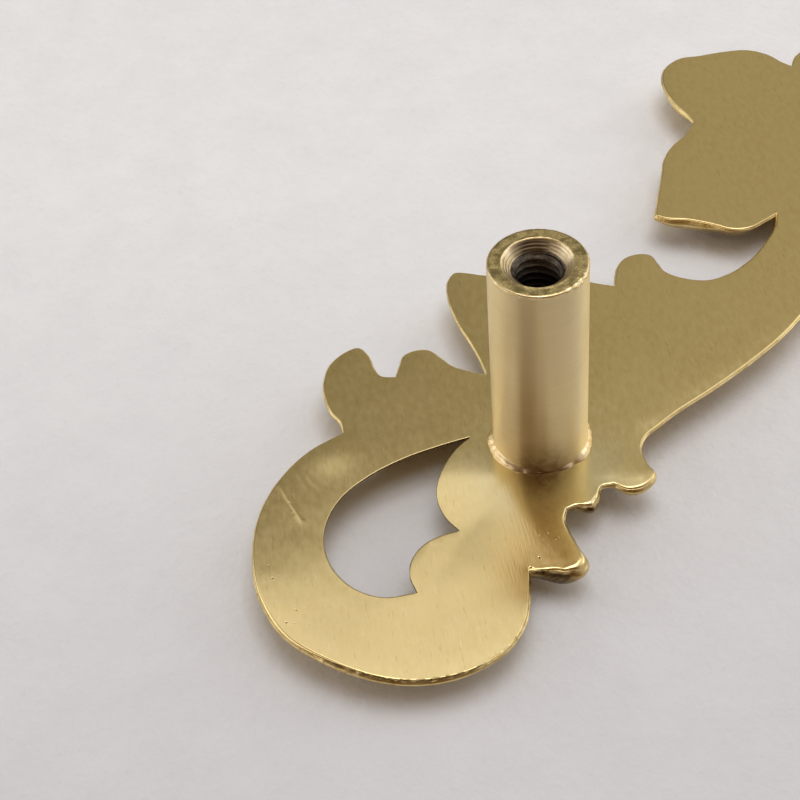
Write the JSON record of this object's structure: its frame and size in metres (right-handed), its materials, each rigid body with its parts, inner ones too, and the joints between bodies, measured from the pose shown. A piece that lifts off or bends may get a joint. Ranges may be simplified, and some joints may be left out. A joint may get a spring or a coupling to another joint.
{
  "type": "cabinet knob",
  "caption": "Cast brass leaf scroll cabinet knob with a turned post brazed to its flat back, bored blind for a screw from behind the door.",
  "frame": {"origin": "bottom centre of the bounding box: the plane that the carved front rests on, under the middle of the leaf's outline", "axes": "+X along the leaf from its scroll to its tip, +Z out of the back along the post, towards the door or drawer front"},
  "size_m": [0.0906, 0.0336, 0.0236],
  "materials": {
    "cast_brass": "cast brass, ground flat and brushed on the back, cleaned and rubbed on the carved front",
    "turned_brass": "turned brass with fine rings, pitted on its end",
    "braze_filler": "bright braze filler, slightly pink, run smooth"
  },
  "bodies": {
    "root": {"leaf_casting": "cast_brass", "threaded_post": "turned_brass", "braze_bead": "braze_filler"}
  },
  "joints": []
}
